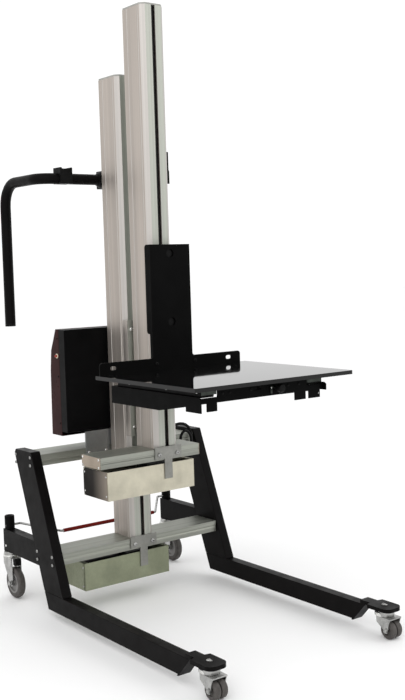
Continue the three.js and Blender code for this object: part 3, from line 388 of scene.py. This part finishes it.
class Piece:
    """A mesh under construction that rides on a body; its slot argument is kept but not used.

    Its look is a material of this script, and edge is the width of its bevels in mm.
    """

    def __init__(self, name, body, look, slot, edge=0.0):
        self.name, self.body, self.look, self.slot, self.edge = name, body, look, slot, edge
        self.bm = bmesh.new()

    def wall(self, low, high):
        """Faces all round between two rows of as many points."""
        for k in range(len(low)):
            n = (k + 1) % len(low)
            self.bm.faces.new((low[k], low[n], high[n], high[k]))

    def rings(self, place, rings, sides=24):
        """A closed turned form: each ring is (radius, height, kind), in mm, up the place's own Z."""
        rows = []
        for radius, height, *kind in rings:
            row = []
            for k in range(sides):
                a = 2 * math.pi * (k + 0.5) / sides
                r = radius * MM * reach(kind[0] if kind else "", a)
                point = Vector((r * math.cos(a), r * math.sin(a), height * MM))
                row.append(self.bm.verts.new(place @ point))
            rows.append(row)
        for low, high in zip(rows, rows[1:]):
            self.wall(low, high)
        self.bm.faces.new(list(reversed(rows[0])))
        self.bm.faces.new(rows[-1])

    def slab(self, lo, hi):
        """A box between two corners in metres."""
        made = bmesh.ops.create_cube(self.bm, size=1.0)
        mid = [(a + b) / 2 for a, b in zip(lo, hi)]
        size = [b - a for a, b in zip(lo, hi)]
        for v in made["verts"]:
            v.co = Vector([m + c * s for m, c, s in zip(mid, v.co, size)])

    def plate(self, points, place, depth):
        """An outline in mm in the place's own X and Y, with a depth in mm along its Z."""
        low, high = [
            [self.bm.verts.new(place @ Vector((x * MM, y * MM, z * MM))) for x, y in points]
            for z in (0, depth)
        ]
        self.bm.faces.new(list(reversed(low)))
        self.bm.faces.new(high)
        self.wall(low, high)

    def done(self):
        bmesh.ops.recalc_face_normals(self.bm, faces=self.bm.faces)
        mesh = bpy.data.meshes.new(self.name)
        self.bm.to_mesh(mesh)
        self.bm.free()
        mesh.materials.append(MATERIALS[self.look])
        o = bpy.data.objects.new(self.name, mesh)
        bpy.context.scene.collection.objects.link(o)
        if self.edge:
            bevel(o, self.edge)
        shade(o)
        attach(o, self.body)


SCREW_SINK = 0.2  # how far a head sits into its face, in mm
# heads from the face outwards: rings of (radius, height, kind), as shares of the head's radius
HEADS = {
    "pan": [(1, 0.16), (0.93, 0.36), (0.72, 0.55), (0.55, 0.62, "cross"), (0.5, 0.3, "cross")],
    "hex": [(1.25, 0.12), (1, 0.13), (1, 0.14, "hex"), (1, 0.6, "hex"), (0.84, 0.68), (0.3, 0.68)],
    "socket": [(1, 0.3), (0.86, 0.5), (0.62, 0.6), (0.5, 0.6, "hex"), (0.48, 0.22, "hex")],
}


def screws(name, body, spots, radius, head, look="bright_steel"):
    """One piece of several screw heads on faces; each spot is (point, axis)."""
    outline = [(share * radius, rise * radius, *kind) for share, rise, *kind in HEADS[head]]
    foot = (outline[0][0], -SCREW_SINK)
    piece = Piece(name, body, look, "zinc_plate")
    for at, axis in spots:
        piece.rings(facing(at, axis), [foot, *outline])
    piece.done()


# each side's name, its end of a box and the way that end looks
SIDES = ("left", 0, "-X"), ("right", 1, "+X")


def inside(lo, hi, near, far=None):
    """Two coordinates in from the ends of a span, by one or two insets in mm."""
    return lo + near * MM, hi - (near if far is None else far) * MM


def middle(lo, hi):
    return (lo + hi) / 2


# ---- base details -----------------------------------------------------------------------------------
def add_frame_bolts():
    """Bolts through the posts into the ends of both beams, and a screw near each rear arm's end."""
    bolts, arm_screws = [], []
    for side, end, outward in SIDES:
        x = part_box(side + "_post")[end].x
        for beam in ("upper_beam", "lower_beam"):
            lo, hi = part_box(beam)
            for y in inside(lo.y, hi.y, near=4, far=6):
                for z in inside(lo.z, hi.z, 5):
                    bolts.append(((x, y, z), outward))
        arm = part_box(side + "_rear_arm")
        from_rear, from_below = 16 * MM, 18 * MM
        arm_screws.append(((arm[end].x, arm[1].y - from_rear, arm[0].z + from_below), outward))
    screws("post_bolts", "base", bolts, radius=4.8, head="socket", look="bolt_grey")
    screws("arm_screws", "base", arm_screws, radius=4, head="pan")


def add_tee_screws():
    """Two bolts in the crossbar of each tee bracket."""
    below_top, half_pitch = 24 * MM, 33
    for tee, body in (("lower_tee_bracket", "base"), ("stage_tee_bracket", "stage")):
        lo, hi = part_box(tee)
        spots = [((s * half_pitch * MM, lo.y, hi.z - below_top), "-Y") for s in (-1, 1)]
        screws(tee + "_screws", body, spots, radius=6.5, head="socket", look="zinc_plate")


def add_beam_ends():
    """Plates on both ends of the stage beam, each held by four screws."""
    lo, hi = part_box("stage_beam")
    thick, margin = 2.5 * MM, 0.5 * MM
    for side, end, outward in SIDES:
        plate = Piece("stage_beam_end_" + side, "stage", "end_plate", "galvanised_sheet", edge=0.8)
        x0, x1 = (lo.x - thick, lo.x) if side == "left" else (hi.x, hi.x + thick)
        plate.slab((x0, lo.y + margin, lo.z + margin), (x1, hi.y - margin, hi.z - margin))
        plate.done()
        face = (x0, x1)[end]
        spots = [
            ((face, y, z), outward) for y in inside(lo.y, hi.y, 7) for z in inside(lo.z, hi.z, 6)
        ]
        screws("stage_beam_end_screws_" + side, "stage", spots, radius=3.8, head="pan")


END_SHEET = 1.2  # thickness of the drive covers' end sheets


def add_cover_details():
    """Folded rims, end sheets and their screws on the two drive covers."""
    inset, fold, thick = 2 * MM, 14 * MM, 1.2 * MM
    for cover, body, look, end_look in (
        ("lower_drive_cover", "base", "galvanised_dark", "galvanised_dark"),
        # the stage cover's end sheets wear painted shade, light at the front and dark behind
        ("stage_drive_cover", "stage", "galvanised_sheet", "cover_end"),
    ):
        lo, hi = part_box(cover)
        low, top = hi.z - thick, hi.z
        rim = Piece(cover + "_rim", body, look, "galvanised_sheet", edge=0.3)
        rim.slab((lo.x + inset, lo.y + inset, low), (lo.x + fold, hi.y - inset, top))
        rim.slab((hi.x - fold, lo.y + inset, low), (hi.x - inset, hi.y - inset, top))
        rim.slab((lo.x + fold, hi.y - fold, low), (hi.x - fold, hi.y - inset, top))
        rim.done()
        spots = [
            ((x, y, z), axis)
            for y in inside(lo.y, hi.y, 9) for z in inside(lo.z, hi.z, 14)
            for x, axis in ((lo.x - END_SHEET * MM, "-X"), (hi.x + END_SHEET * MM, "+X"))
        ]
        screws(cover + "_screws", body, spots, radius=3.2, head="pan")
        add_cover_ends(cover, body, end_look, lo, hi)


def add_cover_ends(cover, body, look, lo, hi):
    """Closing sheets on both ends of a drive cover, with their rear corners cut off."""
    half_depth = (hi.y - lo.y) / MM / 2
    half_high = (hi.z - lo.z) / MM / 2 - 0.5
    front, rear, corner = half_depth - 5, half_depth - 1, 10
    outline = [
        (front, -half_high), (front, half_high), (corner - rear, half_high),
        (-rear, half_high - corner), (-rear, corner - half_high), (corner - rear, -half_high),
    ]
    # on the left the outline's first axis points to the front, on the right to the rear
    for (side, end, outward), ahead in zip(SIDES, (1, -1)):
        sheet = Piece("%s_end_%s" % (cover, side), body, look, "galvanised_sheet", edge=0.2)
        at = facing(((lo, hi)[end].x, middle(lo.y, hi.y), middle(lo.z, hi.z)), outward)
        sheet.plate([(ahead * u, v) for u, v in outline], at, END_SHEET)
        sheet.done()


def add_slider_screws():
    lo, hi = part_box("mast_slider")
    half_pitch, from_front = 36, 7 * MM
    spots = [
        ((s * half_pitch * MM, lo.y + from_front, z), "-Y")
        for s in (-1, 1) for z in inside(lo.z, hi.z, 28)
    ]
    screws("mast_slider_screws", "stage", spots, radius=6, head="pan")


def add_bracket_screws():
    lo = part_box("control_bracket")[0]
    above_edge = 15 * MM
    spots = [((s * x * MM, lo.y, lo.z + above_edge), "-Y") for s in (-1, 1) for x in (119, 56)]
    screws("control_bracket_screws", "base", spots, radius=4.8, head="pan")


# ---- control box details ----------------------------------------------------------------------------
# turned forms as (radius, height, kind) rings
COLLAR = [(4.8, 0.05), (7.5, 0.05), (7.5, 1.6), (7.0, 2.2), (5.2, 2.2), (4.8, 1.8)]
GLAND = [(11, 0, "hex"), (11, 5, "hex"), (9.5, 6), (9, 13), (6.5, 16), (4.3, 17)]
GLAND_X, GLAND_Y = 120, 380.5  # where the cable leaves the box
GLAND_GAP = 0.2


def add_control_box_details():
    """Seam screws, the power button's collar and the cable gland."""
    lo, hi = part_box("control_cover")
    from_front = 10 * MM
    seam = [
        ((x, lo.y + from_front, z), axis)
        for x, axis in ((lo.x, "-X"), (hi.x, "+X"))
        for z in (lo.z + 40 * MM, hi.z - 150 * MM, hi.z - 30 * MM)
    ]
    screws("control_cover_screws", "base", seam, radius=3.0, head="pan", look="black_plastic")
    collar = Piece("power_button_collar", "base", "button_cream", "button_red", edge=0.2)
    b_lo, b_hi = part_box("power_button")
    centre = (lo.x, middle(b_lo.y, b_hi.y), middle(b_lo.z, b_hi.z))
    collar.rings(facing(centre, "-X"), COLLAR, sides=32)
    collar.done()
    gland = Piece("cable_gland", "base", "black_plastic", "black_plastic")
    gland.rings(facing((GLAND_X * MM, GLAND_Y * MM, lo.z - GLAND_GAP * MM), "-Z"), GLAND)
    gland.done()


# ---- carriage details -------------------------------------------------------------------------------
STRIP_BOLT_XS, STRIP_BOLT_RISE = (-60, 81), 99
SLIDE_SCREW_RISE = 10
RAIL_SCREW_XS, RAIL_SCREW_DROP = (-140, -116, -44, 88, 128), 17
TAB_SCREW_IN, TAB_SCREW_RISE = 16, 12
LEVER = [(-3, -9), (3, -9), (3, 4), (14, 4), (16, 6), (16, 9), (14, 11), (-3, 11)]
LEVER_X, LEVER_DROP, LEVER_GAP, LEVER_THICK = 26, 25, 0.2, 2.5
LEVER_SCREW_DROP, LEVER_SCREW_AHEAD = 18, 2.6


def add_carriage_details():
    """Bolts and screws of the back plate, drawer slides and front rail, and the shelf's lever."""
    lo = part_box("carriage_back_plate")[0]
    bolts = [((x * MM, lo.y, lo.z + STRIP_BOLT_RISE * MM), "-Y") for x in STRIP_BOLT_XS]
    screws("strip_bolts", "carriage", bolts, radius=6, head="socket", look="black_plastic")
    slide_screws = []
    for side, end, outward in SIDES:
        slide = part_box("slide_outer_" + side)
        lo, hi = slide
        for y in (lo.y + 14 * MM, lo.y + 150 * MM, hi.y - 62 * MM):
            slide_screws.append(((slide[end].x, y, lo.z + SLIDE_SCREW_RISE * MM), outward))
    screws("slide_screws", "carriage", slide_screws, radius=3.4, head="pan", look="zinc_plate")
    lo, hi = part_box("carriage_front_rail")
    lever = Piece("shelf_lever", "carriage", "slide_zinc", "zinc_plate", edge=0.5)
    lever_at = (LEVER_X * MM, lo.y - LEVER_GAP * MM, hi.z - LEVER_DROP * MM)
    lever.plate(LEVER, facing(lever_at, "-Y"), LEVER_THICK)
    lever.done()
    lever_screw = (LEVER_X * MM, lo.y - LEVER_SCREW_AHEAD * MM, hi.z - LEVER_SCREW_DROP * MM)
    screws("shelf_lever_screw", "carriage", [(lever_screw, "-Y")], radius=2.6, head="pan")
    rail = [((x * MM, lo.y, hi.z - RAIL_SCREW_DROP * MM), "-Y") for x in RAIL_SCREW_XS]
    screws("front_rail_screws", "carriage", rail, radius=3.6, head="socket", look="black_plastic")
    tab = [((hi.x - TAB_SCREW_IN * MM, lo.y, lo.z + TAB_SCREW_RISE * MM), "-Y")]
    screws("rail_tab_screw", "carriage", tab, radius=2.6, head="pan", look="bolt_grey")


# ---- handle details ---------------------------------------------------------------------------------
BAR_RADIUS = 17
BAR_CAP = [(10, 0), (16.4, 0), (16.95, 0.8), (16.95, 9), (16.9, 10)]
CAP_GAP = 0.3
CLAMP_BOLT_X, CLAMP_BOLT_Z = 22, 20  # from the clamp's middle
ARROW_HALF_WIDTH, ARROW_BASE, ARROW_TIP = 4, 2.5, -4
ARROW_SINK, ARROW_THICK = 0.05, 0.3


def add_handle_details():
    """The bar's end cap, the clamp's bolts and the arrows on the hand control's buttons."""
    lo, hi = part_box("handle_bar")
    cap = Piece("handle_end_cap", "base", "black_plastic", "black_plastic")
    at = (lo.x + BAR_RADIUS * MM, hi.y - BAR_RADIUS * MM, lo.z + CAP_GAP * MM)
    cap.rings(facing(at, "+Z"), BAR_CAP, sides=32)
    cap.done()
    c_lo, c_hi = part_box("handle_clamp")
    centre = middle(c_lo, c_hi)
    bolts = [
        ((centre.x + sx * CLAMP_BOLT_X * MM, c_hi.y, centre.z + sz * CLAMP_BOLT_Z * MM), "+Y")
        for sx in (-1, 1) for sz in (-1, 1)
    ]
    screws("handle_clamp_bolts", "base", bolts, radius=4, head="socket")
    # the outline's second axis points down where the place looks along +Y
    for name, up in (("up_button", 1), ("down_button", -1)):
        b_lo, b_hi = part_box(name)
        arrow = Piece(name + "_arrow", name, "shadow", "black_plastic")
        at = (middle(b_lo.x, b_hi.x), b_hi.y - ARROW_SINK * MM, middle(b_lo.z, b_hi.z))
        corners = (-ARROW_HALF_WIDTH, ARROW_BASE), (ARROW_HALF_WIDTH, ARROW_BASE), (0, ARROW_TIP)
        arrow.plate([(u, v * up) for u, v in corners], facing(at, "+Y"), ARROW_THICK)
        arrow.done()


# ---- casters ----------------------------------------------------------------------------------------
REAR_BEARING = [(22.5, 0), (24.2, 1), (24.8, 4), (24.2, 7), (22.5, 8)]
FRONT_BEARING = [(24.2, 0), (25.6, 1.5), (25.8, 5), (25.2, 8.5), (24, 10)]
# painted shade: a thin dark ring in the gap above the front bearing ring
FRONT_SHADE_RING = [(25.2, 0), (25.4, 1), (25.2, 2.2)]
BEARING_SIDES = 40
AXLE_NUT = [(8, -4), (8, -1.0, "hex"), (8, 3, "hex"), (6.4, 4), (2, 4)]
NUT_SINK = 0.2
# the brake block: half its width, its ends ahead of the swivel, its bottom and top below the arm
BLOCK_HALF = 11
BLOCK_FRONT, BLOCK_REAR = 50, 34
BLOCK_BOTTOM, BLOCK_TOP = 41, 20
REAR_BEARING_DROP = 18  # from the arm's underside to the bearing's
SWIVEL_AHEAD = 16  # from the front fork's rear face to its swivel axis
FRONT_BEARING_DROP, FRONT_SHADE_RING_DROP = 30, 20  # below the front fork's top
AXLE_SINK = 1


def add_rear_caster_details(side):
    """Bearing shield, brake block and axle nuts."""
    t_lo, t_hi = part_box("rear_%s_tyre" % side)
    f_lo, f_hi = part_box("rear_%s_fork" % side)
    body = "rear_%s_caster" % side
    x = middle(t_lo.x, t_hi.x)
    axle = (middle(t_lo.y, t_hi.y), middle(t_lo.z, t_hi.z))
    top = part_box(side + "_rear_arm")[0].z
    stem_lo, stem_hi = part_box(side + "_stem_tube")
    swivel_y = middle(stem_lo.y, stem_hi.y)
    ring = Piece("rear_%s_bearing_ring" % side, body, "bright_steel", "zinc_plate")
    ring_at = (x, swivel_y, top - REAR_BEARING_DROP * MM)
    ring.rings(facing(ring_at, "+Z"), REAR_BEARING, BEARING_SIDES)
    ring.done()
    block = Piece("rear_%s_brake_block" % side, body, "black_plastic", "black_plastic", edge=1.2)
    block.slab(
        (x - BLOCK_HALF * MM, swivel_y - BLOCK_FRONT * MM, top - BLOCK_BOTTOM * MM),
        (x + BLOCK_HALF * MM, swivel_y - BLOCK_REAR * MM, top - BLOCK_TOP * MM),
    )
    block.done()
    nuts = Piece("rear_%s_axle_nuts" % side, body, "zinc_plate", "zinc_plate")
    nuts.rings(facing((f_lo.x + NUT_SINK * MM, *axle), "-X"), AXLE_NUT)
    nuts.rings(facing((f_hi.x - NUT_SINK * MM, *axle), "+X"), AXLE_NUT)
    nuts.done()


def add_front_caster_details(side):
    """Bearing shield, axle ends, pad screw, and a dark ring of painted shade between the bearing ring
    and the pad.
    """
    w_lo, w_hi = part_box("front_%s_wheels" % side)
    f_lo, f_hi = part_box("front_%s_fork" % side)
    pad_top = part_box(side + "_tip_plate")[1].z
    body = "front_%s_caster" % side
    x = middle(w_lo.x, w_hi.x)
    swivel_y = f_hi.y - SWIVEL_AHEAD * MM
    ring = Piece("front_%s_bearing_ring" % side, body, "bright_steel", "zinc_plate")
    ring_at = (x, swivel_y, f_hi.z - FRONT_BEARING_DROP * MM)
    ring.rings(facing(ring_at, "+Z"), FRONT_BEARING, BEARING_SIDES)
    ring.done()
    axle = (middle(w_lo.y, w_hi.y), middle(w_lo.z, w_hi.z))
    ends = [((f_lo.x + AXLE_SINK * MM, *axle), "-X"), ((f_hi.x - AXLE_SINK * MM, *axle), "+X")]
    screws("front_%s_axle_ends" % side, body, ends, radius=6, head="hex", look="zinc_plate")
    pad = [((x, swivel_y, pad_top), "+Z")]
    screws("front_%s_pad_screw" % side, "base", pad, radius=6, head="pan", look="bolt_grey")
    # painted shade: a dark ring where the gap between the bearing ring and the pad lies in shade
    shade_ring = Piece("front_%s_seal" % side, body, "shadow", "black_plastic")
    shade_ring_at = (x, swivel_y, f_hi.z - FRONT_SHADE_RING_DROP * MM)
    shade_ring.rings(facing(shade_ring_at, "+Z"), FRONT_SHADE_RING, BEARING_SIDES)
    shade_ring.done()


# ---- floor and light --------------------------------------------------------------------------------
FLOOR_HALF = 30
FLOOR_Z = -0.0005  # just under the wheels
WORLD_STRENGTH = 1.08
LIGHT_SIZE = 3.0
LIGHTS_LOOK_AT = (0, 0, 0.9)
# name, place and power of each square light
LIGHTS = ("key", (-3.0, -2.6, 3.6), 45), ("fill", (3.2, -2.6, 3.0), 30)


def add_stage():
    mesh = bpy.data.meshes.new("floor")
    bm = bmesh.new()
    bmesh.ops.create_grid(bm, x_segments=1, y_segments=1, size=FLOOR_HALF)
    bm.to_mesh(mesh)
    bm.free()
    floor = bpy.data.objects.new("floor", mesh)
    floor.location.z = FLOOR_Z
    bpy.context.scene.collection.objects.link(floor)
    pale = Surface("floor_paint", [0.93] * 3, metallic=0.0, roughness=0.8)
    pale.tint(pale.noise(scale=3), [0.925] * 3, [0.935] * 3)
    mesh.materials.append(pale.material)


def add_light(name, at, power):
    data = bpy.data.lights.new(name, "AREA")
    data.shape = "RECTANGLE"
    data.size = data.size_y = LIGHT_SIZE
    data.energy = power
    lamp = bpy.data.objects.new(name, data)
    lamp.location = at
    look = Vector(LIGHTS_LOOK_AT) - Vector(at)
    lamp.rotation_euler = look.to_track_quat("-Z", "Y").to_euler()
    bpy.context.scene.collection.objects.link(lamp)


def add_world():
    world = bpy.data.worlds.new("studio")
    world.use_nodes = True
    background = world.node_tree.nodes["Background"]
    background.inputs["Color"].default_value = (1, 1, 1, 1)
    background.inputs["Strength"].default_value = WORLD_STRENGTH
    bpy.context.scene.world = world
    bpy.context.scene.view_settings.view_transform = "Standard"


dress_cad_nodes()
add_frame_bolts()
add_tee_screws()
add_beam_ends()
add_cover_details()
add_slider_screws()
add_bracket_screws()
add_control_box_details()
add_carriage_details()
add_handle_details()
for side in ("left", "right"):
    add_rear_caster_details(side)
    add_front_caster_details(side)
add_stage()
add_world()
for light in LIGHTS:
    add_light(*light)

bpy.context.view_layer.update()
